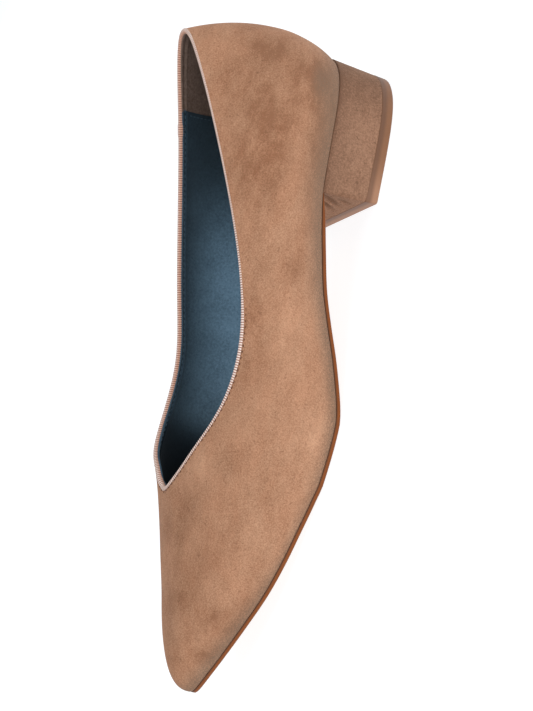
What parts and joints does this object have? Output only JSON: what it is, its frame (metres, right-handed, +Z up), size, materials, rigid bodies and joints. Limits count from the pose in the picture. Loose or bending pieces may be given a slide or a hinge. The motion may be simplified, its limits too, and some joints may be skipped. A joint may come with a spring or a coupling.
{
  "type": "pointed-toe flat",
  "caption": "Slip-on pointed-toe court shoe for the left foot, with a curved bound topline, a suede-finish upper, a padded insole, a thin sole and a low block heel.",
  "frame": {"origin": "middle of the shoe's box, on the floor that it stands on", "axes": "+X towards the toe, +Y towards the outer side of the left foot, +Z up"},
  "size_m": [0.2618, 0.081, 0.0869],
  "materials": {
    "suede": "matte brushed microfibre suede, warm taupe, soft uneven nap",
    "ribbed_tape": "pale folded tape with fine cross ribs",
    "footbed_wrap": "matte brown suede wrap",
    "sock_leather": "smooth beige leather-like sheet with a soft gloss",
    "sole_sheet": "smooth tan sole sheet with a waxed edge",
    "heel_suede": "matte brushed microfibre suede wrapped round a block",
    "heel_tread": "satin tan rubber"
  },
  "bodies": {
    "root": {"upper": "suede", "topline_binding": "ribbed_tape", "footbed": "footbed_wrap", "sock": "sock_leather", "outsole": "sole_sheet", "heel": "heel_suede", "top_piece": "heel_tread"}
  },
  "joints": []
}
